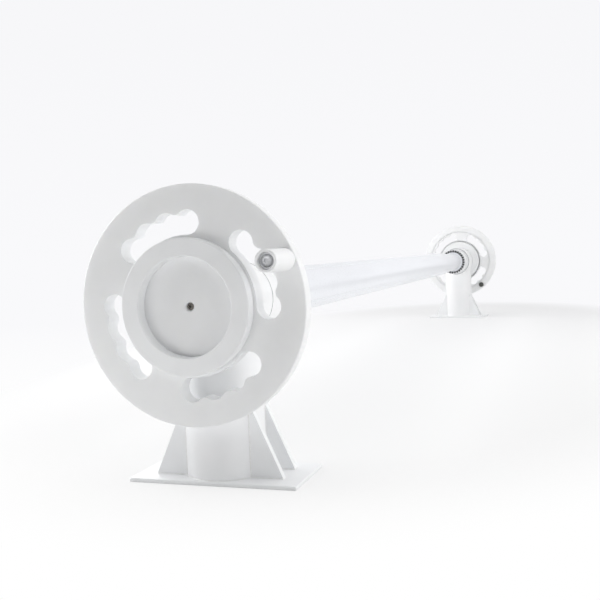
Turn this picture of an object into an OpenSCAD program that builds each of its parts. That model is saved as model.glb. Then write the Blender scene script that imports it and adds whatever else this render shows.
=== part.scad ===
// Cover reel for a swimming pool: two stands, a telescopic tube and two handwheels with grips.
// X runs along the tube, Z points up, and the origin lies on the ground midway between the wheels.
// Each end is drawn in its own frame: x = 0 at the wheel's front face, +x towards the tube.

/* [Reel] */
// Distance between the front faces of the two handwheels
reel_span = 3150; // [2800:10:3400]
// Height of the tube's axis above the ground
axis_height = 273; // [240:1:340]
// Angle of the near wheel's grip, 0 towards -Y and 90 upwards
near_phase = 23; // [-180:1:180]
// Angle of the far wheel's grip, measured the same way
far_phase = -50; // [-180:1:180]

/* [Handwheel] */
// Diameter of the wheel disc
wheel_d = 350; // [340:2:380]
// Thickness of the wheel disc
wheel_t = 28; // [24:1:32]
// Width of the long bevel round the disc's rear
rear_bevel_w = 28; // [10:1:30]
// Depth of that bevel
rear_bevel_h = 6; // [2:0.5:8]
// Bevel round the edges of the disc, boss ring and flange
edge_bevel = 1.2; // [0.5:0.1:2]
// Number of finger slots
slot_count = 4; // [3:1:4]
// Number of round lobes in one finger slot
lobe_count = 4; // [3:1:4]
// Radius of a lobe
lobe_r = 18; // [16:0.5:18.5]
// Radius of the circle that the lobes' centres lie on
lobe_ring_r = 120.5; // [120:0.5:126]
// Angle between neighbouring lobes
lobe_pitch = 15.9; // [15:0.1:17]
// Radius of the rounded neck between two lobes
neck_r = 12; // [8:0.5:16]

/* [Boss ring and rear flange] */
// Outer diameter of the boss ring on the wheel's front
boss_d = 197; // [190:1:202]
// Thickness of the boss ring
boss_t = 20; // [14:1:24]
// Diameter of the opening inside the boss ring
recess_d = 144; // [130:1:150]
// Outer diameter of the flange behind the wheel
flange_d = 188; // [184:1:200]
// Thickness of the rear flange
flange_t = 12; // [11:1:20]
// Thread diameter of the screws that hold the flange on the disc
flange_screw_d = 5; // [4:0.5:6]
// Number of these screws
flange_screw_count = 4; // [3:1:6]
// Thread diameter of the set screws that pin the tube in the flange
set_screw_d = 6; // [5:0.5:8]

/* [Centre screw] */
// Thread diameter of the centre screw
centre_screw_d = 6; // [5:0.5:8]
// Length of its thread in the hub plug
centre_screw_grip = 30; // [20:1:45]
// Thickness of the washer under its head
centre_washer_t = 1.2; // [0.8:0.1:1.6]
// Length of the hub plug inside the tube end
hub_plug_l = 60; // [50:1:100]

/* [Grip] */
// Diameter of the grip at the wheel
grip_d = 32; // [32:0.5:36]
// Diameter of the grip at its tip
grip_tip_d = 31; // [31:0.5:34]
// Length of the grip
grip_l = 77; // [60:1:90]
// Distance from the wheel's rim to the grip's axis
grip_inset = 16; // [16:0.5:20]
// Radius of the rounding at the grip's root
grip_root_r = 4; // [1:0.5:5]
// Diameter of the open bore at the grip's tip
grip_bore_d = 23; // [20:0.5:23.5]
// Width of the chamfer at the mouth of that bore
grip_mouth_chamfer = 1; // [0.5:0.5:1.5]
// Depth of that bore
grip_bore_depth = 9; // [8:0.5:20]
// Thread diameter of the grip bolt
grip_bolt_d = 10; // [8:0.5:10]
// Diameter of the cap over the grip nut
nut_cap_d = 22; // [20:0.5:24]
// Height of the cap over the grip nut
nut_cap_h = 10; // [9:0.5:14]

/* [Tube] */
// Outer diameter of the outer tube
outer_tube_d = 90; // [88:1:96]
// Wall of the outer tube
outer_tube_wall = 2.5; // [2:0.1:3]
// Outer diameter of the inner tube
inner_tube_d = 81; // [76:0.5:81]
// Wall of the inner tube
inner_tube_wall = 2.5; // [2:0.1:4]
// Bare length of the inner tube between the outer tube's mouth and the far toothed ring
inner_tube_bare = 400; // [380:10:700]
// Length of the inner tube inside the outer tube
tube_overlap = 700; // [600:10:900]
// Depth of the four lengthwise grooves in the outer tube
groove_depth = 1; // [0.5:0.1:1.2]
// Radius of the grooves' round bottom
groove_r = 3; // [2:0.5:5]
// Angle of the first groove, measured as the grips' angles
groove_phase = 57; // [0:1:90]
// Length of the guide bush in the outer tube's mouth
bush_l = 60; // [40:1:100]
// Length of the lip of the guide bush
bush_lip = 4; // [3:0.5:8]
// Length of the slide ring on the inner tube's hidden end
slide_ring_l = 40; // [20:1:80]
// Thread diameter of the two locking screws
lock_screw_d = 6; // [5:0.5:8]

/* [Stand] */
// Outer diameter of the pipe that the bearing housing is cut from
housing_d = 125; // [122:1:140]
// Wall of the housing
housing_wall = 6; // [4:0.5:8]
// Length of the housing
housing_l = 136; // [126:1:150]
// Gap between the rear flange and the housing
housing_gap = 2; // [1:0.5:10]
// Outer diameter of the post
post_d = 125; // [118:1:125]
// Wall of the post
post_wall = 6; // [4:0.5:10]
// Length of the base plate across the tube
plate_w = 272; // [260:2:340]
// Width of the base plate along the tube
plate_l = 136; // [130:1:170]
// Thickness of the base plate
plate_t = 6.5; // [5:0.5:12]
// Radius of the base plate's corners
plate_corner_r = 3; // [1:0.5:6]
// Thickness of a gusset
gusset_t = 11; // [6:0.5:12]
// Height of a gusset above the base plate
gusset_h = 103; // [90:1:125]
// Distance from the post's axis to a gusset's foot end
gusset_reach = 104; // [90:1:125]
// Distance from the post's axis to the middle plane of a gusset
gusset_offset = 28; // [20:0.5:32]
// Wall of the sleeve that lines the housing
sleeve_wall = 5; // [4:0.5:6]
// Length of the sleeve outside the housing, at the tube's side
sleeve_reach = 112; // [60:1:160]
// Length of a bearing ring inside the sleeve
ring_l = 15; // [12:0.5:20]
// Thickness of the flange of the bearing ring in the sleeve's mouth
ring_flange_t = 2; // [1.5:0.5:4]
// Width by which that flange stands out past the sleeve
ring_flange_rim = 1; // [0.5:0.5:4]
// Thickness of the toothed ring on that flange
tooth_ring_t = 3; // [2:0.5:6]
// Width of the toothed ring's solid rim round the tube
tooth_rim_w = 1.5; // [1:0.5:3]
// Number of its teeth
tooth_count = 46; // [30:1:60]

/* [Fits] */
// Radial clearance of a shaft that turns or slides in its seat
running_fit = 0.1; // [0.05:0.01:0.1]
// Radial clearance between fixed pieces
fixed_fit = 0.05; // [0.02:0.01:0.1]
// Axial play of a turning grip
axial_play = 0.3; // [0.2:0.05:0.5]

/* [Hidden] */
$fn = 96;

white_plastic = "#eef0f1";
white_coat = "#f4f5f7";
black_plastic = "#1d1e20";
dark_steel = "#4a4b4d";
steel = "#a9abad";

// Stations along an end's own x axis
flange_back = wheel_t + flange_t;
housing_start = flange_back + housing_gap;
housing_end = housing_start + housing_l;
post_x = housing_start + housing_l / 2;
sleeve_end = housing_end + sleeve_reach;
ring_inset = 1;
ring_flange_end = sleeve_end + ring_flange_t;
tooth_ring_end = ring_flange_end + tooth_ring_t;
sleeve_d = housing_d - 2 * housing_wall - 2 * fixed_fit;
sleeve_bore_d = sleeve_d - 2 * sleeve_wall;
ring_flange_d = sleeve_d + 2 * ring_flange_rim;

// Tube stations, in the near end's frame
outer_tube_end = reel_span - tooth_ring_end - inner_tube_bare - bush_lip;
inner_tube_l = reel_span - wheel_t - (outer_tube_end - tube_overlap);
outer_bore_d = outer_tube_d - 2 * outer_tube_wall;
inner_bore_d = inner_tube_d - 2 * inner_tube_wall;

// Height of the flat seat of the grip nut in the rear bevel
nut_seat = wheel_t - rear_bevel_h;
nut_cap_gap = 1;

// Screws
flange_screw_ring_r = (recess_d + boss_d) / 4;
flange_screw_end = wheel_t + flange_t * 3 / 4;
flange_screw_head_h = flange_screw_d / 2;
flange_screw_head_d = 2 * flange_screw_d;
set_screw_x = wheel_t + flange_t / 2;
set_screw_inset = 6;
set_screw_bite = 12;
centre_head_d = 1.5 * centre_screw_d + 1;
centre_socket_w = 0.8 * centre_screw_d;
centre_hole_d = centre_head_d + 2;
head_sink = 3.5;
centre_seat = head_sink + centre_screw_d + centre_washer_t;
hole_chamfer = 2;

// Grip
grip_ring_r = wheel_d / 2 - grip_inset;
grip_tip_r = 2;
grip_washer_t = 1.5;
bolt_head_d = 1.75 * grip_bolt_d;
bolt_head_h = 0.55 * grip_bolt_d;
bolt_socket_w = 0.6 * grip_bolt_d;
bolt_socket_depth = 0.3 * grip_bolt_d;
nut_h = 6;
nut_d = nut_cap_d - 3;
bolt_seat = -(axial_play + grip_l - grip_bore_depth) - axial_play;

lock_head_d = lock_screw_d * 2;
lock_head_h = lock_screw_d / 2;
lock_phase = groove_phase + 135;

// ---------- Frames ----------

// Frame of the near end
module near_end() {
    translate([-reel_span / 2, 0, 0]) children();
}

// Frame of the far end, the mirror image of the near one
module far_end() {
    translate([reel_span / 2, 0, 0]) mirror([1, 0, 0]) children();
}

// The turning axis, with angle 0 at -Y and 90 upwards after the turn by phase
module on_axis(phase = 0) {
    translate([0, 0, axis_height]) rotate([-phase, 0, 0]) children();
}

// Lays a shape drawn along Z down along X, with its plane in Y and Z
module along_x(x = 0) {
    translate([x, 0, 0]) rotate([90, 0, 90]) children();
}

// Place of the grip's axis on a wheel
module at_grip() {
    translate([0, -grip_ring_r, 0]) children();
}

// Copies a piece to every flange screw's place
module at_flange_screws() {
    for (i = [0 : flange_screw_count - 1])
        rotate([45 + i * 360 / flange_screw_count, 0, 0])
            translate([0, flange_screw_ring_r, 0]) children();
}

// Copies a piece drawn along +Y to both sides of the axis
module on_two_sides(x, phase = 0) {
    for (side = [0, 180])
        rotate([side - phase, 0, 0]) translate([x, 0, 0]) children();
}

// Copies a piece drawn along +Y to both locking screws' places
module at_lock_screws() {
    for (share = [1, 2])
        rotate([180 - lock_phase, 0, 0]) translate([outer_tube_end - bush_l * share / 3, 0, 0]) children();
}

// ---------- Shapes ----------

// Round bar along X from x0 to x1
module bar(x0, x1, d) {
    along_x(x0) cylinder(h = x1 - x0, d = d);
}

// Round bar along Y from y0 to y1
module radial_bar(y0, y1, d) {
    translate([0, y0, 0]) rotate([-90, 0, 0]) cylinder(h = y1 - y0, d = d);
}

// Pipe along X
module pipe(x0, x1, d, bore) {
    difference() {
        bar(x0, x1, d);
        bar(x0 - 1, x1 + 1, bore);
    }
}

// Disc along X with bevelled rims
module bevelled_disc(x0, x1, d, bevel = edge_bevel) {
    r = d / 2;
    along_x(x0) rotate_extrude() polygon([
        [0, 0], [r - bevel, 0], [r, bevel],
        [r, x1 - x0 - bevel], [r - bevel, x1 - x0], [0, x1 - x0]
    ]);
}

// Outline of one finger slot, centred on the 2D x axis
module slot_outline() {
    spread = (lobe_count - 1) * lobe_pitch / 2;
    neck_x = lobe_ring_r * cos(lobe_pitch / 2);
    neck_y = lobe_ring_r * sin(lobe_pitch / 2);
    fillet_x = neck_x + sqrt(pow(lobe_r + neck_r, 2) - pow(neck_y, 2));
    inner_r = lobe_ring_r - lobe_r + 0.2;
    far_r = 2 * lobe_ring_r;
    difference() {
        union() {
            for (i = [0 : lobe_count - 1])
                rotate(i * lobe_pitch - spread) translate([lobe_ring_r, 0]) circle(r = lobe_r);
            for (i = [0 : lobe_count - 2])
                rotate((i + 0.5) * lobe_pitch - spread)
                    polygon([[neck_x, -neck_y], [fillet_x, 0], [neck_x, neck_y]]);
            intersection() {
                difference() {
                    circle(r = lobe_ring_r);
                    circle(r = inner_r);
                }
                polygon([
                    [0, 0],
                    [far_r * cos(spread), -far_r * sin(spread)],
                    [far_r * cos(spread), far_r * sin(spread)]
                ]);
            }
        }
        for (i = [0 : lobe_count - 2])
            rotate((i + 0.5) * lobe_pitch - spread)
                translate([fillet_x, 0]) circle(r = neck_r + 0.05);
    }
}

// ---------- Stand ----------

module base_plate() {
    r = plate_corner_r;
    color(white_plastic) translate([post_x, 0, 0]) linear_extrude(plate_t) union() {
        square([plate_l - 2 * r, plate_w], center = true);
        square([plate_l, plate_w - 2 * r], center = true);
        for (x = [-1, 1], y = [-1, 1])
            translate([x * (plate_l / 2 - r), y * (plate_w / 2 - r)]) circle(r = r);
    }
}

// Pipe post, cut at the top to the round of the housing
module post() {
    flank_drop = 8;
    color(white_plastic) difference() {
        translate([post_x, 0, plate_t])
            cylinder(h = axis_height - flank_drop - plate_t, d = post_d);
        translate([post_x, 0, plate_t - 1])
            cylinder(h = axis_height, d = post_d - 2 * post_wall);
        on_axis() bar(0, 2 * housing_end, housing_d + 2 * fixed_fit);
    }
}

// Four triangular plates that stand across the tube's direction
module gussets() {
    toe = 2;
    tip = 3;
    color(white_plastic) difference() {
        for (x = [-1, 1], y = [-1, 1])
            translate([post_x + x * gusset_offset - gusset_t / 2, 0, plate_t])
                mirror([0, y > 0 ? 0 : 1, 0])
                    rotate([90, 0, 90]) linear_extrude(gusset_t) polygon([
                        [0, 0], [gusset_reach, 0], [gusset_reach, toe],
                        [sqrt(pow(post_d / 2, 2) - pow(gusset_offset, 2)) + tip, gusset_h],
                        [0, gusset_h]
                    ]);
        translate([post_x, 0, 0]) cylinder(h = axis_height, d = post_d + 2 * fixed_fit);
    }
}

module housing() {
    color(white_plastic) on_axis() pipe(housing_start, housing_end, housing_d, housing_d - 2 * housing_wall);
}

// Sleeve that lines the housing and carries the tube further along
module sleeve() {
    color(white_plastic) on_axis() pipe(housing_start, sleeve_end, sleeve_d, sleeve_bore_d);
}

// Plain bearing ring in the sleeve's end at the wheel's side
module outer_ring(tube_d) {
    x0 = housing_start + ring_inset;
    color(black_plastic) on_axis()
        pipe(x0, x0 + ring_l, sleeve_bore_d - 2 * fixed_fit, tube_d + 2 * running_fit);
}

// Bearing ring in the sleeve's mouth at the tube's side, with a flange outside it
module inner_ring(tube_d) {
    color(white_plastic) on_axis() difference() {
        union() {
            bar(sleeve_end - ring_l, sleeve_end, sleeve_bore_d - 2 * fixed_fit);
            bar(sleeve_end, ring_flange_end, ring_flange_d);
        }
        bar(sleeve_end - ring_l - 1, ring_flange_end + 1, tube_d + 2 * running_fit);
    }
}

// Ring of teeth that point outwards, on the face of the bearing ring's flange
module tooth_ring(tube_d) {
    bore = tube_d + 2 * running_fit;
    tooth_gap = PI * ring_flange_d / tooth_count / 2;
    color(black_plastic) on_axis() difference() {
        pipe(ring_flange_end, tooth_ring_end, ring_flange_d, bore);
        for (i = [0 : tooth_count - 1])
            rotate([i * 360 / tooth_count, 0, 0])
                translate([ring_flange_end - 1, bore / 2 + tooth_rim_w, -tooth_gap / 2])
                    cube([tooth_ring_t + 2, ring_flange_d, tooth_gap]);
    }
}

// ---------- Wheel ----------

// Disc with its finger slots and screw holes
module wheel() {
    r = wheel_d / 2;
    color(white_plastic) difference() {
        along_x() rotate_extrude() polygon([
            [0, 0], [r - edge_bevel, 0], [r, edge_bevel],
            [r, nut_seat], [r - rear_bevel_w, wheel_t], [0, wheel_t]
        ]);
        for (i = [0 : slot_count - 1])
            rotate([i * 360 / slot_count, 0, 0])
                along_x(-1) rotate(180) linear_extrude(wheel_t + 2) slot_outline();
        bar(-1, centre_seat, centre_hole_d);
        along_x() cylinder(h = hole_chamfer, d1 = centre_hole_d + 2 * hole_chamfer, d2 = centre_hole_d);
        bar(0, wheel_t + 1, centre_screw_d + 2 * fixed_fit);
        at_flange_screws() {
            bar(-1, wheel_t + 1, flange_screw_d + 2 * fixed_fit);
            along_x() cylinder(h = flange_screw_head_h, d1 = flange_screw_head_d + 2 * fixed_fit,
                               d2 = flange_screw_d + 2 * fixed_fit);
        }
        at_grip() {
            bar(-1, wheel_t + 1, grip_bolt_d + 2 * fixed_fit);
            bar(nut_seat, wheel_t + 1, nut_cap_d + 2 * nut_cap_gap);
        }
    }
}

module boss_ring() {
    color(white_plastic) difference() {
        bevelled_disc(-boss_t, 0, boss_d);
        bar(-boss_t - 1, 1, recess_d);
        along_x(-boss_t) cylinder(h = edge_bevel, d1 = recess_d + 2 * edge_bevel, d2 = recess_d);
    }
}

// Rear flange, bored for the tube and for its screws
module flange(tube_d) {
    color(white_plastic) difference() {
        bevelled_disc(wheel_t, flange_back, flange_d);
        bar(0, flange_back + 1, tube_d + 2 * fixed_fit);
        at_flange_screws() bar(0, flange_screw_end + fixed_fit, flange_screw_d + 2 * fixed_fit);
        on_two_sides(set_screw_x) radial_bar(0, flange_d, set_screw_d + 2 * fixed_fit);
    }
}

// Countersunk screws from the disc's front, under the boss ring, into the flange
module flange_screws() {
    color(steel) at_flange_screws() difference() {
        union() {
            bar(flange_screw_head_h, flange_screw_end, flange_screw_d);
            along_x() cylinder(h = flange_screw_head_h, d1 = flange_screw_head_d, d2 = flange_screw_d);
        }
        bar(-1, flange_screw_head_h, flange_screw_d * 0.6);
    }
}

// Set screws through flange and tube wall into the hub plug
module set_screws(bore) {
    inner_y = bore / 2 - set_screw_bite;
    outer_y = flange_d / 2 - set_screw_inset;
    color(steel) on_two_sides(set_screw_x) difference() {
        radial_bar(inner_y, outer_y, set_screw_d);
        radial_bar(outer_y - set_screw_d / 2, outer_y + 1, set_screw_d / 2);
    }
}

// Round plug in the tube end, tapped for the centre screw
module hub_plug(bore) {
    color(white_plastic) difference() {
        bar(wheel_t, wheel_t + hub_plug_l, bore - 2 * fixed_fit);
        bar(0, centre_seat + centre_screw_grip + 1, centre_screw_d + 2 * fixed_fit);
        on_two_sides(set_screw_x)
            radial_bar(bore / 2 - set_screw_bite - 1, bore, set_screw_d + 2 * fixed_fit);
    }
}

// Socket head screw that holds the disc on the hub plug
module centre_screw() {
    head_back = centre_seat - centre_washer_t;
    color(dark_steel) difference() {
        union() {
            bar(head_sink, head_back, centre_head_d);
            bar(head_back, centre_seat + centre_screw_grip, centre_screw_d);
        }
        along_x(head_sink - 1)
            cylinder(h = centre_screw_d / 2 + 1, d = centre_socket_w * 2 / sqrt(3), $fn = 6);
    }
}

module centre_washer() {
    color(steel) pipe(centre_seat - centre_washer_t, centre_seat,
         centre_hole_d - 4 * fixed_fit, centre_screw_d + 4 * fixed_fit);
}

// ---------- Grip ----------

// Tapered grip that turns on its bolt, with an open bore at the tip
module grip() {
    root = -axial_play;
    tip = root - grip_l;
    mouth_d = grip_bore_d + 2 * grip_mouth_chamfer;
    color(white_plastic) at_grip() difference() {
        rotate([0, -90, 0]) rotate_extrude() grip_profile(-root, -tip);
        bar(tip - 1, tip + grip_bore_depth, grip_bore_d);
        bar(tip, 1, grip_bolt_d + 2 * running_fit);
        along_x(tip) cylinder(h = grip_mouth_chamfer, d1 = mouth_d, d2 = grip_bore_d);
    }
}

// Half outline of the grip from its root at height z0 to its tip at z1
module grip_profile(z0, z1) {
    root_x = grip_d / 2 - grip_root_r;
    tip_x = grip_tip_d / 2 - grip_tip_r;
    polygon([
        [0, z0], [root_x, z0], [grip_d / 2, z0 + grip_root_r],
        [grip_tip_d / 2, z1 - grip_tip_r], [tip_x, z1], [0, z1]
    ]);
    translate([root_x, z0 + grip_root_r]) intersection() {
        circle(r = grip_root_r);
        translate([0, -grip_root_r]) square(grip_root_r);
    }
    translate([tip_x, z1 - grip_tip_r]) intersection() {
        circle(r = grip_tip_r);
        square(grip_tip_r);
    }
}

// Button head bolt from inside the grip's bore to behind the wheel
module grip_bolt() {
    head_back = bolt_seat - grip_washer_t;
    head_front = head_back - bolt_head_h;
    dome_r = (pow(bolt_head_d / 2, 2) + pow(bolt_head_h, 2)) / (2 * bolt_head_h);
    color(steel) at_grip() difference() {
        union() {
            intersection() {
                translate([head_front + dome_r, 0, 0]) sphere(r = dome_r);
                bar(head_front - 1, head_back, 2 * dome_r + 2);
            }
            bar(head_back, nut_seat + nut_h + 1, grip_bolt_d);
        }
        along_x(head_front - 1)
            cylinder(h = bolt_socket_depth + 1, d = bolt_socket_w * 2 / sqrt(3), $fn = 6);
    }
}

module grip_washer() {
    color(steel) at_grip() pipe(bolt_seat - grip_washer_t, bolt_seat,
                                grip_bore_d - 1, grip_bolt_d + 2 * fixed_fit);
}

module grip_nut() {
    color(steel) at_grip() difference() {
        along_x(nut_seat) cylinder(h = nut_h, d = nut_d, $fn = 6);
        bar(nut_seat - 1, nut_seat + nut_h + 1, grip_bolt_d + 2 * fixed_fit);
    }
}

// Round cap pushed over the nut
module nut_cap() {
    color(black_plastic) at_grip() difference() {
        bevelled_disc(nut_seat, nut_seat + nut_cap_h, nut_cap_d, 1);
        bar(nut_seat - 1, nut_seat + nut_h + 1.5, nut_d + 2 * fixed_fit);
    }
}

// ---------- Tube ----------

// Outer tube with four shallow grooves and the holes for its screws
module outer_tube() {
    color(white_coat) difference() {
        pipe(wheel_t, outer_tube_end, outer_tube_d, outer_bore_d);
        for (i = [0 : 3])
            rotate([-groove_phase - i * 90, 0, 0])
                translate([0, -(outer_tube_d / 2 + groove_r - groove_depth), 0])
                    bar(flange_back, outer_tube_end + 1, 2 * groove_r);
        on_two_sides(set_screw_x, near_phase)
            radial_bar(0, outer_tube_d, set_screw_d + 2 * fixed_fit);
        at_lock_screws() radial_bar(0, outer_tube_d, lock_screw_d + 2 * fixed_fit);
    }
}

// Sleeve in the mouth of the outer tube, with a lip outside it
module guide_bush() {
    bore = inner_tube_d + 2 * running_fit;
    color(white_plastic) difference() {
        union() {
            bar(outer_tube_end - bush_l, outer_tube_end, outer_bore_d - 2 * fixed_fit);
            bevelled_disc(outer_tube_end, outer_tube_end + bush_lip, outer_tube_d - 1, 1);
        }
        bar(outer_tube_end - bush_l - 1, outer_tube_end + bush_lip + 1, bore);
        at_lock_screws() radial_bar(0, outer_tube_d, lock_screw_d + 2 * fixed_fit);
    }
}

// Two low-headed screws that clamp the inner tube
module lock_screws() {
    color(dark_steel) at_lock_screws() difference() {
        union() {
            radial_bar(inner_tube_d / 2 + axial_play, outer_tube_d / 2 + 0.5, lock_screw_d);
            radial_bar(outer_tube_d / 2, outer_tube_d / 2 + lock_head_h, lock_head_d);
        }
        radial_bar(outer_tube_d / 2 + lock_head_h / 2, outer_tube_d, lock_screw_d * 0.6);
    }
}

module inner_tube() {
    color(white_coat) difference() {
        pipe(wheel_t, wheel_t + inner_tube_l, inner_tube_d, inner_bore_d);
        on_two_sides(set_screw_x, far_phase)
            radial_bar(0, inner_tube_d, set_screw_d + 2 * fixed_fit);
    }
}

// Ring on the hidden end of the inner tube, which runs in the outer tube's bore
module slide_ring() {
    back = wheel_t + inner_tube_l;
    color(black_plastic) difference() {
        union() {
            bar(back - slide_ring_l, back, outer_bore_d - 2 * running_fit);
            bar(back, back + 3, outer_bore_d - 2 * running_fit);
        }
        bar(back - slide_ring_l - 1, back, inner_tube_d + 2 * fixed_fit);
        bar(back - 1, back + 4, inner_bore_d);
    }
}

// ---------- Nodes ----------

near_end() base_plate();  // near_base_plate
near_end() post();  // near_post
near_end() gussets();  // near_gussets
near_end() housing();  // near_housing
near_end() sleeve();  // near_sleeve
near_end() inner_ring(outer_tube_d);  // near_inner_ring
near_end() tooth_ring(outer_tube_d);  // near_tooth_ring
near_end() outer_ring(outer_tube_d);  // near_outer_ring
near_end() on_axis(near_phase) wheel();  // near_wheel
near_end() on_axis(near_phase) boss_ring();  // near_boss_ring
near_end() on_axis(near_phase) flange(outer_tube_d);  // near_flange
near_end() on_axis(near_phase) flange_screws();  // near_flange_screws
near_end() on_axis(near_phase) set_screws(outer_bore_d);  // near_set_screws
near_end() on_axis(near_phase) hub_plug(outer_bore_d);  // near_hub_plug
near_end() on_axis(near_phase) centre_screw();  // near_centre_screw
near_end() on_axis(near_phase) centre_washer();  // near_centre_washer
near_end() on_axis(near_phase) grip();  // near_grip
near_end() on_axis(near_phase) grip_bolt();  // near_grip_bolt
near_end() on_axis(near_phase) grip_washer();  // near_grip_washer
near_end() on_axis(near_phase) grip_nut();  // near_grip_nut
near_end() on_axis(near_phase) nut_cap();  // near_nut_cap
near_end() on_axis() outer_tube();
near_end() on_axis() guide_bush();
near_end() on_axis() lock_screws();
far_end() on_axis() inner_tube();
far_end() on_axis() slide_ring();
far_end() base_plate();  // far_base_plate
far_end() post();  // far_post
far_end() gussets();  // far_gussets
far_end() housing();  // far_housing
far_end() sleeve();  // far_sleeve
far_end() inner_ring(inner_tube_d);  // far_inner_ring
far_end() tooth_ring(inner_tube_d);  // far_tooth_ring
far_end() outer_ring(inner_tube_d);  // far_outer_ring
far_end() on_axis(far_phase) wheel();  // far_wheel
far_end() on_axis(far_phase) boss_ring();  // far_boss_ring
far_end() on_axis(far_phase) flange(inner_tube_d);  // far_flange
far_end() on_axis(far_phase) flange_screws();  // far_flange_screws
far_end() on_axis(far_phase) set_screws(inner_bore_d);  // far_set_screws
far_end() on_axis(far_phase) hub_plug(inner_bore_d);  // far_hub_plug
far_end() on_axis(far_phase) centre_screw();  // far_centre_screw
far_end() on_axis(far_phase) centre_washer();  // far_centre_washer
far_end() on_axis(far_phase) grip();  // far_grip
far_end() on_axis(far_phase) grip_bolt();  // far_grip_bolt
far_end() on_axis(far_phase) grip_washer();  // far_grip_washer
far_end() on_axis(far_phase) grip_nut();  // far_grip_nut
far_end() on_axis(far_phase) nut_cap();  // far_nut_cap
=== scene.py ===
# Looks of the pool cover reel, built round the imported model
import math

import bmesh
import bpy
from mathutils import Matrix, Vector


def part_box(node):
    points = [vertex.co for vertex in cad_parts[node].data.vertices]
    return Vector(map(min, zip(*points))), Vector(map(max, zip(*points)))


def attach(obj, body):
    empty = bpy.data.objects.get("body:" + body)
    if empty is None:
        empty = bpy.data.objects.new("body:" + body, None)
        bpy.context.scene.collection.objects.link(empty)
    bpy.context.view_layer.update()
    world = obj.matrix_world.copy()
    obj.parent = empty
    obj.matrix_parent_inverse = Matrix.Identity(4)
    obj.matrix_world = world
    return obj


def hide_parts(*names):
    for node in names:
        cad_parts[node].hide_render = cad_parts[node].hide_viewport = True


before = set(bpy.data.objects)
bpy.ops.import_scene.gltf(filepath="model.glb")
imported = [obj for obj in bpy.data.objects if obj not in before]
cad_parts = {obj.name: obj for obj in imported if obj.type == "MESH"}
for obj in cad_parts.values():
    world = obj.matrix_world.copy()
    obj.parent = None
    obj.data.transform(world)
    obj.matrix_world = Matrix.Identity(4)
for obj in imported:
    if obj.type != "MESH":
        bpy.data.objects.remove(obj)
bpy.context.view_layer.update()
print("frame loaded:", len(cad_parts), "nodes")

mm = 0.001
ends = ("near", "far")
sharpAngle = math.radians(35)


# small helpers

def hexColour(text, alpha=1.0):
    channels = [int(text[i:i + 2], 16) / 255 for i in (1, 3, 5)]
    linear = [c / 12.92 if c <= 0.04045 else ((c + 0.055) / 1.055) ** 2.4 for c in channels]
    return (*linear, alpha)


def addNode(tree, kind, values=None, links=None, **settings):
    node = tree.nodes.new(kind)
    for name, value in settings.items():
        setattr(node, name, value)
    for socket, value in (values or {}).items():
        node.inputs[socket].default_value = value
    for socket, source in (links or {}).items():
        tree.links.new(source, node.inputs[socket])
    return node


def startMaterial(name):
    material = bpy.data.materials.new(name)
    material.use_nodes = True
    tree = material.node_tree
    tree.nodes.clear()
    place = addNode(tree, "ShaderNodeTexCoord").outputs["Object"]
    return material, tree, place


def finishMaterial(tree, shader):
    addNode(tree, "ShaderNodeOutputMaterial", links={"Surface": shader.outputs[0]})


def twoTones(tree, factor, low, high, start=0.35, stop=0.65):
    ramp = addNode(tree, "ShaderNodeValToRGB", links={"Fac": factor})
    ramp.color_ramp.elements[0].position = start
    ramp.color_ramp.elements[1].position = stop
    ramp.color_ramp.elements[0].color = hexColour(low)
    ramp.color_ramp.elements[1].color = hexColour(high)
    return ramp.outputs["Color"]


def spread(tree, factor, low, high):
    scaled = addNode(tree, "ShaderNodeMapRange", {"To Min": low, "To Max": high}, {"Value": factor})
    return scaled.outputs["Result"]


def noise(tree, place, sizeMm, detail=3.0, stretch=None):
    # sizeMm is the size of one blotch on the surface
    if stretch:
        place = addNode(tree, "ShaderNodeMapping", {"Scale": stretch}, {"Vector": place}).outputs["Vector"]
    values = {"Scale": 1 / (sizeMm * mm), "Detail": detail}
    return addNode(tree, "ShaderNodeTexNoise", values, {"Vector": place}).outputs["Fac"]


def bump(tree, height, depthMm, strength=1.0, below=None):
    links = {"Height": height}
    if below:
        links["Normal"] = below
    values = {"Distance": depthMm * mm, "Strength": strength}
    return addNode(tree, "ShaderNodeBump", values, links).outputs["Normal"]


def addSurface(tree, constants, colour, roughness, normal):
    links = {"Base Color": colour, "Roughness": roughness, "Normal": normal}
    finishMaterial(tree, addNode(tree, "ShaderNodeBsdfPrincipled", constants, links))


# materials

def routedPolyethylene():
    # HDPE sheet, cut and turned: satin white with a faint grain and a soft, slightly waxy glow
    look = {"pale": "#f7f8f9", "shade": "#f5f6f7", "grainMm": 0.9, "grainDeepMm": 0.03,
            "wavesMm": 35, "wavesDeepMm": 0.08, "roughness": (0.38, 0.5),
            "glowShare": 0.4, "glowReach": (0.009, 0.009, 0.0085)}
    material, tree, place = startMaterial("routedPolyethylene")
    waves = noise(tree, place, look["wavesMm"], 2.0)
    grain = noise(tree, place, look["grainMm"], 4.0)
    relief = bump(tree, waves, look["wavesDeepMm"], 0.3, bump(tree, grain, look["grainDeepMm"], 0.5))
    constants = {"IOR": 1.52, "Subsurface Weight": look["glowShare"],
                 "Subsurface Radius": look["glowReach"], "Subsurface Scale": 1.0}
    addSurface(tree, constants, twoTones(tree, waves, look["shade"], look["pale"]),
               spread(tree, grain, *look["roughness"]), relief)
    return material


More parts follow.
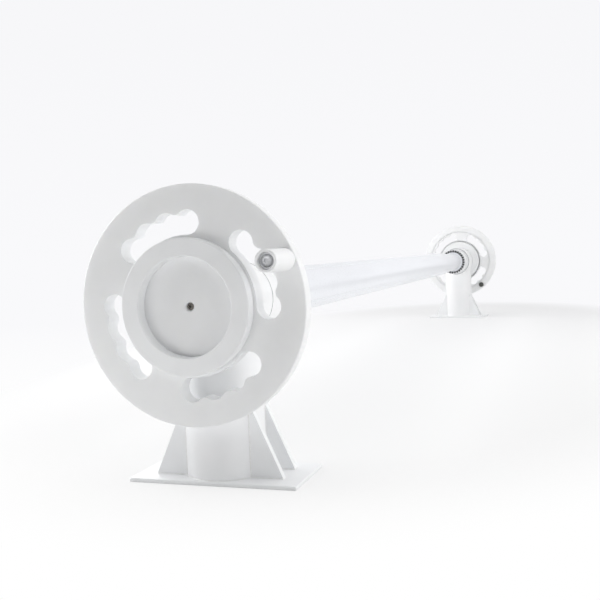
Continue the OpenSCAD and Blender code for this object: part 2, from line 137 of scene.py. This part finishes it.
def turnedPolyethylene():
    # the same HDPE faced on a lathe: fine rings round the reel's axis
    look = {"pale": "#f7f8f9", "shade": "#f4f5f6", "ringMm": 2.2, "ringDeepMm": 0.02,
            "wavesMm": 40, "wavesDeepMm": 0.08, "roughness": (0.36, 0.46),
            "glowShare": 0.1, "glowReach": (0.004, 0.004, 0.0036)}
    material, tree, place = startMaterial("turnedPolyethylene")
    centre = {"Location": (0, 0, -axisHeight)}
    centred = addNode(tree, "ShaderNodeMapping", centre, {"Vector": place}).outputs["Vector"]
    # at scale 1 a wave texture repeats every tau / 20
    waveScale = math.tau / 20 / (look["ringMm"] * mm)
    rings = addNode(tree, "ShaderNodeTexWave",
                    {"Scale": waveScale, "Distortion": 0.4, "Detail": 2.0, "Detail Scale": 3.0},
                    {"Vector": centred}, wave_type="RINGS", rings_direction="X").outputs["Fac"]
    waves = noise(tree, place, look["wavesMm"], 2.0)
    relief = bump(tree, rings, look["ringDeepMm"], 0.5, bump(tree, waves, look["wavesDeepMm"], 0.3))
    constants = {"IOR": 1.52, "Subsurface Weight": look["glowShare"],
                 "Subsurface Radius": look["glowReach"], "Subsurface Scale": 1.0}
    addSurface(tree, constants, twoTones(tree, waves, look["shade"], look["pale"]),
               spread(tree, rings, *look["roughness"]), relief)
    return material


def extrudedPipe(name, stretch):
    # PVC pressure pipe: white, semi-gloss, with faint draw lines along the pipe
    look = {"pale": "#f8f8f9", "shade": "#f5f6f7", "lineMm": 1.6, "lineDeepMm": 0.03,
            "cloudsMm": 60, "cloudsDeepMm": 0.12, "roughness": (0.26, 0.38)}
    material, tree, place = startMaterial(name)
    lines = noise(tree, place, look["lineMm"], 2.0, stretch)
    clouds = noise(tree, place, look["cloudsMm"], 2.0)
    relief = bump(tree, lines, look["lineDeepMm"], 0.4, bump(tree, clouds, look["cloudsDeepMm"], 0.25))
    addSurface(tree, {"IOR": 1.53}, twoTones(tree, clouds, look["shade"], look["pale"]),
               spread(tree, lines, *look["roughness"]), relief)
    return material


def sawnSheet():
    # PVC sheet, sawn and deburred: white, a little flatter than the pipe
    look = {"pale": "#f7f8f9", "shade": "#f4f5f6", "grainMm": 1.4, "grainDeepMm": 0.03,
            "cloudsMm": 45, "cloudsDeepMm": 0.1, "roughness": (0.34, 0.48)}
    material, tree, place = startMaterial("sawnSheet")
    grain = noise(tree, place, look["grainMm"], 3.0)
    clouds = noise(tree, place, look["cloudsMm"], 2.0)
    relief = bump(tree, grain, look["grainDeepMm"], 0.5, bump(tree, clouds, look["cloudsDeepMm"], 0.25))
    addSurface(tree, {"IOR": 1.53}, twoTones(tree, clouds, look["shade"], look["pale"]),
               spread(tree, grain, *look["roughness"]), relief)
    return material


def weldedRod():
    # hot-gas weld of white PVC rod: glossier than the sheet, its white barely duller where it was heated
    look = {"pale": "#f7f7f7", "shade": "#f0f0ef", "blotchMm": 5, "blotchDeepMm": 0.1,
            "roughness": (0.25, 0.4)}
    material, tree, place = startMaterial("weldedRod")
    blotch = noise(tree, place, look["blotchMm"], 3.0)
    addSurface(tree, {"IOR": 1.53}, twoTones(tree, blotch, look["shade"], look["pale"]),
               spread(tree, blotch, *look["roughness"]), bump(tree, blotch, look["blotchDeepMm"], 0.4))
    return material


def powderCoat():
    # polyester powder coat on aluminium tube: smooth cool white with fine orange peel
    look = {"pale": "#eceef3", "shade": "#e9ebf0", "peelMm": 1.8, "peelDeepMm": 0.04,
            "cloudsMm": 80, "cloudStretch": (0.3, 1.0, 1.0), "roughness": (0.24, 0.34)}
    material, tree, place = startMaterial("powderCoat")
    peel = noise(tree, place, look["peelMm"], 2.0)
    clouds = noise(tree, place, look["cloudsMm"], 2.0, look["cloudStretch"])
    constants = {"IOR": 1.5, "Coat Weight": 0.25, "Coat Roughness": 0.12}
    addSurface(tree, constants, twoTones(tree, clouds, look["shade"], look["pale"]),
               spread(tree, peel, *look["roughness"]), bump(tree, peel, look["peelDeepMm"], 0.45))
    return material


def mouldedNylon(name, dark, light):
    # glass-filled nylon, injection moulded, with a fine matt grain
    look = {"grainMm": 0.8, "grainDeepMm": 0.05, "roughness": (0.42, 0.6)}
    material, tree, place = startMaterial(name)
    grain = noise(tree, place, look["grainMm"], 4.0)
    addSurface(tree, {"IOR": 1.53}, twoTones(tree, grain, dark, light),
               spread(tree, grain, *look["roughness"]), bump(tree, grain, look["grainDeepMm"], 0.5))
    return material


def turnedStainless():
    # A2 stainless, turned and passivated: grey metal with fine cutting marks
    look = {"dark": "#b4b5b7", "light": "#d6d7d9", "markMm": 0.5, "markDeepMm": 0.02,
            "markStretch": (4.0, 0.6, 0.6), "roughness": (0.22, 0.42)}
    material, tree, place = startMaterial("turnedStainless")
    marks = noise(tree, place, look["markMm"], 3.0, look["markStretch"])
    addSurface(tree, {"Metallic": 1.0}, twoTones(tree, marks, look["dark"], look["light"]),
               spread(tree, marks, *look["roughness"]), bump(tree, marks, look["markDeepMm"], 0.4))
    return material


def greyEndRing():
    # light grey, satin: the thin ring that draws a dark line at each housing's tube end
    look = {"pale": "#bcbec0", "shade": "#adafb1", "blotchMm": 4, "blotchDeepMm": 0.05,
            "roughness": (0.4, 0.55)}
    material, tree, place = startMaterial("greyEndRing")
    blotch = noise(tree, place, look["blotchMm"], 2.0)
    addSurface(tree, {"IOR": 1.41}, twoTones(tree, blotch, look["shade"], look["pale"]),
               spread(tree, blotch, *look["roughness"]), bump(tree, blotch, look["blotchDeepMm"], 0.4))
    return material


def oiledSteel():
    # black-oxide socket screw: dark brownish grey, oily sheen
    look = {"dark": "#3a3836", "light": "#77736e", "blotchMm": 1.2, "blotchDeepMm": 0.03,
            "roughness": (0.3, 0.5)}
    material, tree, place = startMaterial("oiledSteel")
    blotch = noise(tree, place, look["blotchMm"], 3.0)
    addSurface(tree, {"Metallic": 1.0}, twoTones(tree, blotch, look["dark"], look["light"]),
               spread(tree, blotch, *look["roughness"]), bump(tree, blotch, look["blotchDeepMm"], 0.4))
    return material


# sizes read from the frame

def nodeBox(name):
    low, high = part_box(name)
    return Vector(low), Vector(high)


tubeLow, tubeHigh = nodeBox("outer_tube")
axisHeight = (tubeLow.z + tubeHigh.z) / 2

finishes = {
    "wheel": routedPolyethylene(), "turned": turnedPolyethylene(), "sheet": sawnSheet(),
    "uprightPipe": extrudedPipe("extrudedPipeUpright", (1.0, 1.0, 0.02)),
    "levelPipe": extrudedPipe("extrudedPipeLevel", (0.02, 1.0, 1.0)),
    "weld": weldedRod(), "coat": powderCoat(),
    "nylon": mouldedNylon("mouldedNylonBlack", "#121214", "#1f2023"),
    "cap": mouldedNylon("mouldedNylonGrey", "#3c3e3a", "#4a4c48"),
    "stainless": turnedStainless(), "oxide": oiledSteel(), "greyRing": greyEndRing(),
}
print("materials made:", len(finishes))


def dress(piece, finish):
    piece.data.materials.clear()
    piece.data.materials.append(finishes[finish])


def newPiece(name, work, sharpEdges=True):
    mesh = bpy.data.meshes.new(name)
    work.to_mesh(mesh)
    work.free()
    mesh.shade_smooth()
    if sharpEdges:
        mesh.set_sharp_from_angle(angle=sharpAngle)
    piece = bpy.data.objects.new(name, mesh)
    bpy.context.scene.collection.objects.link(piece)
    return piece


def spunRing(work, corners, steps):
    # a closed ring round the reel's axis from the corners of its section, each (x, radius)
    loop = [work.verts.new((x, 0, axisHeight + radius)) for x, radius in corners]
    sides = [work.edges.new((a, b)) for a, b in zip(loop, loop[1:] + loop[:1])]
    bmesh.ops.spin(work, geom=loop + sides, cent=(0, 0, axisHeight), axis=(1, 0, 0), dvec=(0, 0, 0),
                   angle=math.tau, steps=steps, use_merge=True, use_duplicate=False)
    bmesh.ops.recalc_face_normals(work, faces=work.faces)


def endFace(nodeName):
    # place of a node's face that looks at the tube, and the way from there into the node
    low, high = nodeBox(nodeName)
    return (high.x, -1) if high.x < 0 else (low.x, 1)


# grooves routed in a wheel's rear face: a deep one round the flange, a fine one inside the rim's bevel
grooveLook = {"flange": {"insideMm": 94, "wideMm": 6.5, "deepMm": 14},
              "rim": {"insideMm": 142.5, "wideMm": 3.2, "deepMm": 5}, "proudMm": 1, "steps": 144}


def carveGrooves(mesh, nodeName):
    face, inward = endFace(nodeName)
    work = bmesh.new()
    for name in ("flange", "rim"):
        look = grooveLook[name]
        inside, outside = look["insideMm"] * mm, (look["insideMm"] + look["wideMm"]) * mm
        mouth, floor = face - inward * grooveLook["proudMm"] * mm, face + inward * look["deepMm"] * mm
        spunRing(work, [(mouth, inside), (mouth, outside), (floor, outside), (floor, inside)],
                 grooveLook["steps"])
    cutterMesh = bpy.data.meshes.new("cutter")
    work.to_mesh(cutterMesh)
    work.free()
    cutter = bpy.data.objects.new("cutter", cutterMesh)
    holder = bpy.data.objects.new("holder", mesh)
    for item in (cutter, holder):
        bpy.context.scene.collection.objects.link(item)
    cut = holder.modifiers.new("grooves", "BOOLEAN")
    cut.operation = "DIFFERENCE"
    cut.object = cutter
    bpy.context.view_layer.update()
    carved = bpy.data.meshes.new_from_object(holder.evaluated_get(bpy.context.evaluated_depsgraph_get()))
    for item in (cutter, holder):
        bpy.data.objects.remove(item)
    bpy.data.meshes.remove(cutterMesh)
    bpy.data.meshes.remove(mesh)
    return carved


mergeLook = {"distanceMm": 0.002, "flatDegrees": 0.2}


def softCopy(nodeName, body, finish, edge):
    # a merged copy of a CAD node with its sharp edges rounded
    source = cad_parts[nodeName]
    work = bmesh.new()
    work.from_mesh(source.data)
    bmesh.ops.remove_doubles(work, verts=work.verts, dist=mergeLook["distanceMm"] * mm)
    bmesh.ops.dissolve_limit(work, angle_limit=math.radians(mergeLook["flatDegrees"]),
                             verts=work.verts, edges=work.edges)
    mesh = bpy.data.meshes.new(nodeName + "_soft")
    work.to_mesh(mesh)
    work.free()
    if edge.get("grooves"):
        mesh = carveGrooves(mesh, nodeName)
    if "custom_normal" in mesh.attributes:
        mesh.attributes.remove(mesh.attributes["custom_normal"])
    mesh.shade_smooth()
    mesh.set_sharp_from_angle(angle=sharpAngle)
    piece = bpy.data.objects.new(nodeName + "_soft", mesh)
    bpy.context.scene.collection.objects.link(piece)
    rounding = piece.modifiers.new("edges", "BEVEL")
    rounding.limit_method = "ANGLE"
    rounding.angle_limit = sharpAngle
    rounding.width = edge["radiusMm"] * mm
    rounding.segments = edge["segments"]
    rounding.harden_normals = True
    rounding.use_clamp_overlap = True
    rounding.miter_outer = "MITER_ARC"
    dress(piece, finish)
    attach(piece, body)
    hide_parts(nodeName)


# wheels, stands, grips and the screws that show: the CAD solids with rounded edges

softened = {
    "wheel": {"body": "reel", "slot": "moulded_hdpe", "finish": "wheel", "radiusMm": 0.9, "segments": 3,
              "grooves": True},
    "boss_ring": {"body": "reel", "slot": "moulded_hdpe", "finish": "turned", "radiusMm": 0.8, "segments": 3},
    "flange": {"body": "reel", "slot": "moulded_hdpe", "finish": "turned", "radiusMm": 0.6, "segments": 2},
    "base_plate": {"body": "stand", "slot": "pipe_plastic", "finish": "sheet", "radiusMm": 2.2, "segments": 4},
    "gussets": {"body": "stand", "slot": "pipe_plastic", "finish": "sheet", "radiusMm": 0.8, "segments": 3},
    "housing": {"body": "stand", "slot": "pipe_plastic", "finish": "levelPipe", "radiusMm": 0.9, "segments": 3},
    "post": {"body": "stand", "slot": "pipe_plastic", "finish": "uprightPipe", "radiusMm": 0.3, "segments": 1},
    "sleeve": {"body": "stand", "slot": "pipe_plastic", "finish": "levelPipe", "radiusMm": 0.9, "segments": 3},
    "inner_ring": {"body": "stand", "slot": "moulded_hdpe", "finish": "turned", "radiusMm": 0.35, "segments": 2},
    "grip": {"body": "handgrip", "slot": "moulded_hdpe", "finish": "wheel", "radiusMm": 0.4, "segments": 3},
    "nut_cap": {"body": "reel", "slot": "black_nylon", "finish": "cap", "radiusMm": 0.5, "segments": 3},
    "grip_bolt": {"body": "reel", "slot": "stainless", "finish": "stainless", "radiusMm": 0.5, "segments": 3},
    "centre_screw": {"body": "reel", "slot": "stainless", "finish": "oxide", "radiusMm": 0.4, "segments": 3},
}
for end in ends:
    for part, edge in softened.items():
        softCopy(end + "_" + part, end + "_" + edge["body"], edge["finish"], edge)
print("solids softened:", len(softened) * len(ends))


# CAD nodes that keep their own mesh

kept = {
    "outer_ring": "nylon", "flange_screws": "stainless", "set_screws": "stainless",
    "centre_washer": "stainless", "grip_washer": "stainless", "grip_nut": "stainless", "hub_plug": "wheel",
}
for end in ends:
    for part, finish in kept.items():
        dress(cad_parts[end + "_" + part], finish)
for part, finish in {"outer_tube": "coat", "inner_tube": "coat", "guide_bush": "turned",
                     "slide_ring": "nylon", "lock_screws": "oxide"}.items():
    dress(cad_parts[part], finish)
print("nodes dressed")


# weld beads: rod laid by hot gas in the corners of a stand

beadLook = {"radiusMm": 1.4, "saddleMm": 1.5, "rippleMm": 3.4, "rippleDepth": 0.06, "rippleMiddle": 0.6,
            "wanderDepth": 0.03, "wanderRate": 1.7, "stepMm": 0.85, "gussetMm": 11, "turnDegrees": 3}


def bentBead(path, radiusMm, closed=False):
    # a curve along the path whose thickness swells with each dab of rod
    points = list(path) + ([path[0]] if closed else [])
    lengths = [(b - a).length for a, b in zip(points, points[1:])]
    total = sum(lengths)
    count = max(3, round(total / (beadLook["stepMm"] * mm)))
    places, leg, done = [], 0, 0.0
    for i in range(count if closed else count + 1):
        along = total * i / count
        while leg < len(lengths) - 1 and along > done + lengths[leg]:
            done += lengths[leg]
            leg += 1
        places.append((points[leg].lerp(points[leg + 1], (along - done) / lengths[leg]), along))
    data = bpy.data.curves.new("bead", "CURVE")
    data.dimensions = "3D"
    data.bevel_depth = radiusMm * mm
    data.bevel_resolution = 2
    data.use_fill_caps = not closed
    spline = data.splines.new("POLY")
    spline.points.add(len(places) - 1)
    spline.use_cyclic_u = closed
    for point, (place, along) in zip(spline.points, places):
        dabs = along / (beadLook["rippleMm"] * mm)
        point.co = (*place, 1)
        ripple = beadLook["rippleDepth"] * (abs(math.sin(math.pi * dabs)) - beadLook["rippleMiddle"])
        point.radius = 1 + ripple + beadLook["wanderDepth"] * math.sin(dabs * beadLook["wanderRate"])
    return data


def makeWelds(end):
    postLow, postHigh = nodeBox(end + "_post")
    gussetLow, gussetHigh = nodeBox(end + "_gussets")
    middle = (postLow.x + postHigh.x) / 2
    radius = (postHigh.x - postLow.x) / 2
    foot = nodeBox(end + "_base_plate")[1].z
    outer = (gussetHigh.x - gussetLow.x) / 2
    inner = outer - beadLook["gussetMm"] * mm
    reach = gussetHigh.y
    turns = [math.radians(t) for t in range(0, 360, beadLook["turnDegrees"])]
    beads = [
        bentBead([Vector((middle + radius * math.cos(t), radius * math.sin(t), foot)) for t in turns],
                 beadLook["radiusMm"], True),
        bentBead([Vector((middle + radius * math.cos(t), radius * math.sin(t),
                          axisHeight - radius * abs(math.cos(t)))) for t in turns], beadLook["saddleMm"], True),
    ]
    for sideX in (-1, 1):
        for sideY in (-1, 1):
            corners = []
            for across, along in ((inner, 0), (inner, reach), (outer, reach), (outer, 0)):
                along = along or math.sqrt(radius ** 2 - across ** 2)
                corners.append(Vector((middle + sideX * across, sideY * along, foot)))
            beads.append(bentBead(corners, beadLook["radiusMm"]))
            for corner in (corners[0], corners[3]):
                top = Vector((corner.x, corner.y, gussetHigh.z))
                beads.append(bentBead([corner, top], beadLook["radiusMm"]))
    work = bmesh.new()
    for data in beads:
        holder = bpy.data.objects.new("bead", data)
        bpy.context.scene.collection.objects.link(holder)
        bpy.context.view_layer.update()
        solid = bpy.data.meshes.new_from_object(holder.evaluated_get(bpy.context.evaluated_depsgraph_get()))
        work.from_mesh(solid)
        bpy.data.objects.remove(holder)
        bpy.data.curves.remove(data)
        bpy.data.meshes.remove(solid)
    bmesh.ops.remove_doubles(work, verts=work.verts, dist=0.001 * mm)
    bmesh.ops.recalc_face_normals(work, faces=work.faces)
    piece = newPiece(end + "_welds", work, sharpEdges=False)
    dress(piece, "weld")
    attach(piece, end + "_stand")


for end in ends:
    makeWelds(end)
print("welds laid")


# toothed rings: black teeth on a solid rim, in front of each bearing's white flange

toothLook = {"insideMm": 45.7, "rimMm": 46.8, "outsideMm": 54.5, "sinkMm": 0.2, "teeth": 28,
             "toothShare": 0.55, "toothSteps": 3, "steps": 112}


def makeTeeth(end):
    low, high = nodeBox(end + "_tooth_ring")
    inside, rim, outside = (toothLook[k] * mm for k in ("insideMm", "rimMm", "outsideMm"))
    work = bmesh.new()
    spunRing(work, [(low.x, inside), (low.x, rim), (high.x, rim), (high.x, inside)], toothLook["steps"])
    root = rim - toothLook["sinkMm"] * mm
    pitch = math.tau / toothLook["teeth"]
    for i in range(toothLook["teeth"]):
        corners = [Vector((x, 0, radius)) for x, radius in
                   ((low.x, root), (low.x, outside), (high.x, outside), (high.x, root))]
        turn = Matrix.Translation((0, 0, axisHeight)) @ Matrix.Rotation(pitch * i, 4, "X")
        side = work.faces.new([work.verts.new(turn @ corner) for corner in corners])
        bmesh.ops.spin(work, geom=[side, *side.edges, *side.verts], cent=(0, 0, axisHeight), axis=(1, 0, 0),
                       dvec=(0, 0, 0), angle=pitch * toothLook["toothShare"],
                       steps=toothLook["toothSteps"], use_duplicate=False)
    bmesh.ops.recalc_face_normals(work, faces=work.faces)
    piece = newPiece(end + "_teeth", work)
    dress(piece, "nylon")
    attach(piece, end + "_stand")
    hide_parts(end + "_tooth_ring")


for end in ends:
    makeTeeth(end)


# collar: white ring on the thinner far tube, as wide as the near one, where it runs through the teeth

collarLook = {"outsideMm": 45, "proudMm": 9, "edgeMm": 1.2, "gapMm": 0.3, "steps": 96}


def makeCollar():
    ringLow, ringHigh = nodeBox("far_tooth_ring")
    tubeLow, tubeHigh = nodeBox("inner_tube")
    inside = (tubeHigh.z - tubeLow.z) / 2
    outside, edge = collarLook["outsideMm"] * mm, collarLook["edgeMm"] * mm
    front, back = ringLow.x - collarLook["proudMm"] * mm, ringHigh.x - collarLook["gapMm"] * mm
    work = bmesh.new()
    spunRing(work, [(front, inside), (front, outside - edge), (front + edge, outside), (back, outside),
                    (back, inside)], collarLook["steps"])
    piece = newPiece("far_collar", work)
    dress(piece, "coat")
    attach(piece, "far_reel")


makeCollar()
print("teeth and collar made")


# seam: a thin grey ring at the tube's end of each housing, drawing a dark line where the housing ends

seamLook = {"insideMm": 60, "outsideMm": 62.9, "thickMm": 0.7, "steps": 96}


def makeSeam(end):
    face, inward = endFace(end + "_housing")
    back = face - inward * seamLook["thickMm"] * mm
    inside, outside = seamLook["insideMm"] * mm, seamLook["outsideMm"] * mm
    work = bmesh.new()
    spunRing(work, [(face, inside), (face, outside), (back, outside), (back, inside)], seamLook["steps"])
    piece = newPiece(end + "_seam", work)
    dress(piece, "greyRing")
    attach(piece, end + "_stand")


for end in ends:
    makeSeam(end)
print("seams laid")


# camera

cameraLook = {"place": (-2.6456, -0.51498, 0.34392), "yaw": 18.0429, "pitch": -3.2805, "roll": -2.1695,
              "lens": 49.537, "sensor": 36}


def makeCamera():
    data = bpy.data.cameras.new("camera")
    data.lens = cameraLook["lens"]
    data.sensor_width = cameraLook["sensor"]
    camera = bpy.data.objects.new("camera", data)
    bpy.context.scene.collection.objects.link(camera)
    yaw, pitch, roll = (math.radians(cameraLook[k]) for k in ("yaw", "pitch", "roll"))
    forward = Vector((math.cos(yaw) * math.cos(pitch), math.sin(yaw) * math.cos(pitch), math.sin(pitch)))
    right = forward.cross(Vector((0, 0, 1))).normalized()
    up = right.cross(forward)
    tiltedRight = math.cos(roll) * right + math.sin(roll) * up
    tiltedUp = -math.sin(roll) * right + math.cos(roll) * up
    axes = Matrix((tiltedRight, tiltedUp, -forward)).transposed()
    camera.matrix_world = Matrix.Translation(cameraLook["place"]) @ axes.to_4x4()
    bpy.context.scene.camera = camera


makeCamera()
print("camera placed")


# floor and light

stageLook = {"floor": "#f0f0f0", "nearFloor": "#ffffff", "horizon": "#f9f9fb", "backdrop": "#f7f7f9",
             "floorHalf": 40.0, "squeeze": 0.5, "centreX": 0.4, "fade": (0.85, 1.12), "nearGlow": 0.42,
             "behind": (-1.6, 1.2), "farOff": (3.2, 8.0), "frontSky": 0.04, "backSky": 0.42,
             "skyTurn": 0.7, "skyRise": 0.25}


def rise(tree, value, limits, **settings):
    # from 0 at the first limit to 1 at the second
    values = {"From Min": limits[0], "From Max": limits[1]}
    return addNode(tree, "ShaderNodeMapRange", values, {"Value": value}, **settings).outputs["Result"]


def makeFloor():
    # shadows show in an oval round the reel; further off the floor takes the tone of the horizon
    work = bmesh.new()
    bmesh.ops.create_grid(work, x_segments=1, y_segments=1, size=stageLook["floorHalf"])
    mesh = bpy.data.meshes.new("floor")
    work.to_mesh(mesh)
    work.free()
    floor = bpy.data.objects.new("floor", mesh)
    bpy.context.scene.collection.objects.link(floor)
    material, tree, place = startMaterial("paperSweep")
    shader = addNode(tree, "ShaderNodeBsdfDiffuse", {"Color": hexColour(stageLook["floor"])})
    squeeze = stageLook["squeeze"]
    oval = addNode(tree, "ShaderNodeMapping", {"Location": (-stageLook["centreX"] * squeeze, 0, 0),
                   "Scale": (squeeze, 1.0, 1.0)}, {"Vector": place}).outputs["Vector"]
    forward = addNode(tree, "ShaderNodeSeparateXYZ", links={"Vector": place}).outputs["X"]
    behind = rise(tree, forward, stageLook["behind"])
    distance = addNode(tree, "ShaderNodeVectorMath", links={0: place}, operation="LENGTH").outputs["Value"]
    farOff = rise(tree, distance, stageLook["farOff"], interpolation_type="SMOOTHSTEP")
    away = addNode(tree, "ShaderNodeMath", links={0: behind, 1: farOff},
                   operation="MAXIMUM").outputs["Value"]
    reach = addNode(tree, "ShaderNodeVectorMath", links={0: oval}, operation="LENGTH").outputs["Value"]
    fade = rise(tree, reach, stageLook["fade"], interpolation_type="SMOOTHSTEP")
    tone = twoTones(tree, away, stageLook["nearFloor"], stageLook["horizon"], 0.0, 1.0)
    glow = addNode(tree, "ShaderNodeEmission", {"Strength": 1.0}, {"Color": tone})
    share = spread(tree, fade, stageLook["nearGlow"], 1.0)
    rays = addNode(tree, "ShaderNodeLightPath").outputs["Is Camera Ray"]
    amount = addNode(tree, "ShaderNodeMath", links={0: share, 1: rays}, operation="MULTIPLY").outputs["Value"]
    mixed = addNode(tree, "ShaderNodeMixShader", links={0: amount, 1: shader.outputs[0], 2: glow.outputs[0]})
    finishMaterial(tree, mixed)
    mesh.materials.append(material)


def makeWorld():
    # the room is darker in front of the reel than behind it
    world = bpy.data.worlds.new("studio")
    bpy.context.scene.world = world
    world.use_nodes = True
    tree = world.node_tree
    tree.nodes.clear()
    facing = addNode(tree, "ShaderNodeTexCoord").outputs["Generated"]
    ways = addNode(tree, "ShaderNodeSeparateXYZ", links={"Vector": facing})
    limits = {"From Min": -stageLook["skyTurn"], "From Max": stageLook["skyTurn"],
              "To Min": stageLook["frontSky"], "To Max": stageLook["backSky"]}
    level = addNode(tree, "ShaderNodeMapRange", limits, {"Value": ways.outputs["X"]},
                    interpolation_type="SMOOTHSTEP").outputs["Result"]
    soft = addNode(tree, "ShaderNodeBackground", {"Color": hexColour("#ffffff")}, {"Strength": level})
    paper = twoTones(tree, ways.outputs["Z"], stageLook["horizon"], stageLook["backdrop"],
                     0.0, stageLook["skyRise"])
    seen = addNode(tree, "ShaderNodeBackground", {"Strength": 1.0}, {"Color": paper})
    path = addNode(tree, "ShaderNodeLightPath")
    glossy = addNode(tree, "ShaderNodeMath", operation="MAXIMUM", links={
        0: path.outputs["Is Camera Ray"], 1: path.outputs["Is Glossy Ray"]}).outputs["Value"]
    direct = addNode(tree, "ShaderNodeMath", links={0: glossy, 1: path.outputs["Is Transmission Ray"]},
                     operation="MAXIMUM").outputs["Value"]
    mixed = addNode(tree, "ShaderNodeMixShader", links={0: direct, 1: soft.outputs[0], 2: seen.outputs[0]})
    addNode(tree, "ShaderNodeOutputWorld", links={"Surface": mixed.outputs[0]})


lightLook = {
    "ceiling": {"towards": (0, 0, 1), "strength": 0.34, "angle": 90},
    "right": {"place": (0.1, -2.0, 1.0), "aim": (0.1, 0, 0.25), "size": (2.6, 1.2), "watts": 20},
    "front": {"place": (-2.1, -2.0, 0.6), "aim": (-1.575, 0, 0.2), "size": (1.2, 1.0), "watts": 9.5},
    "left": {"place": (-0.2, 2.0, 0.85), "aim": (-0.2, 0, 0.25), "size": (4.6, 1.2), "watts": 47},
    "over": {"place": (0.3, 0, 2.3), "aim": (0.9, 0, 0.25), "size": (3.2, 2.2), "watts": 11},
    "low": {"place": (-2.25, 0.35, 0.03), "aim": (-1.575, 0, 0.24), "size": (0.5, 0.3), "watts": 1.5},
}


def addLamp(name, kind, towards, place=(0, 0, 0)):
    data = bpy.data.lights.new(name, kind)
    lamp = bpy.data.objects.new(name, data)
    lamp.rotation_mode = "QUATERNION"
    lamp.rotation_quaternion = Vector(towards).to_track_quat("Z", "Y")
    lamp.location = place
    lamp.visible_camera = False
    bpy.context.scene.collection.objects.link(lamp)
    return data


def makeLights():
    look = lightLook["ceiling"]
    ceiling = addLamp("ceiling", "SUN", look["towards"])
    ceiling.energy = look["strength"] * math.pi
    ceiling.angle = math.radians(look["angle"])
    for side in ("right", "front", "left", "over", "low"):
        look = lightLook[side]
        towards = Vector(look["place"]) - Vector(look["aim"])
        box = addLamp("softbox" + side.capitalize(), "AREA", towards, look["place"])
        box.shape = "RECTANGLE"
        box.size, box.size_y = look["size"]
        box.energy = look["watts"]


makeFloor()
makeWorld()
makeLights()
print("stage and light set")

bpy.context.scene.view_settings.view_transform = "Standard"
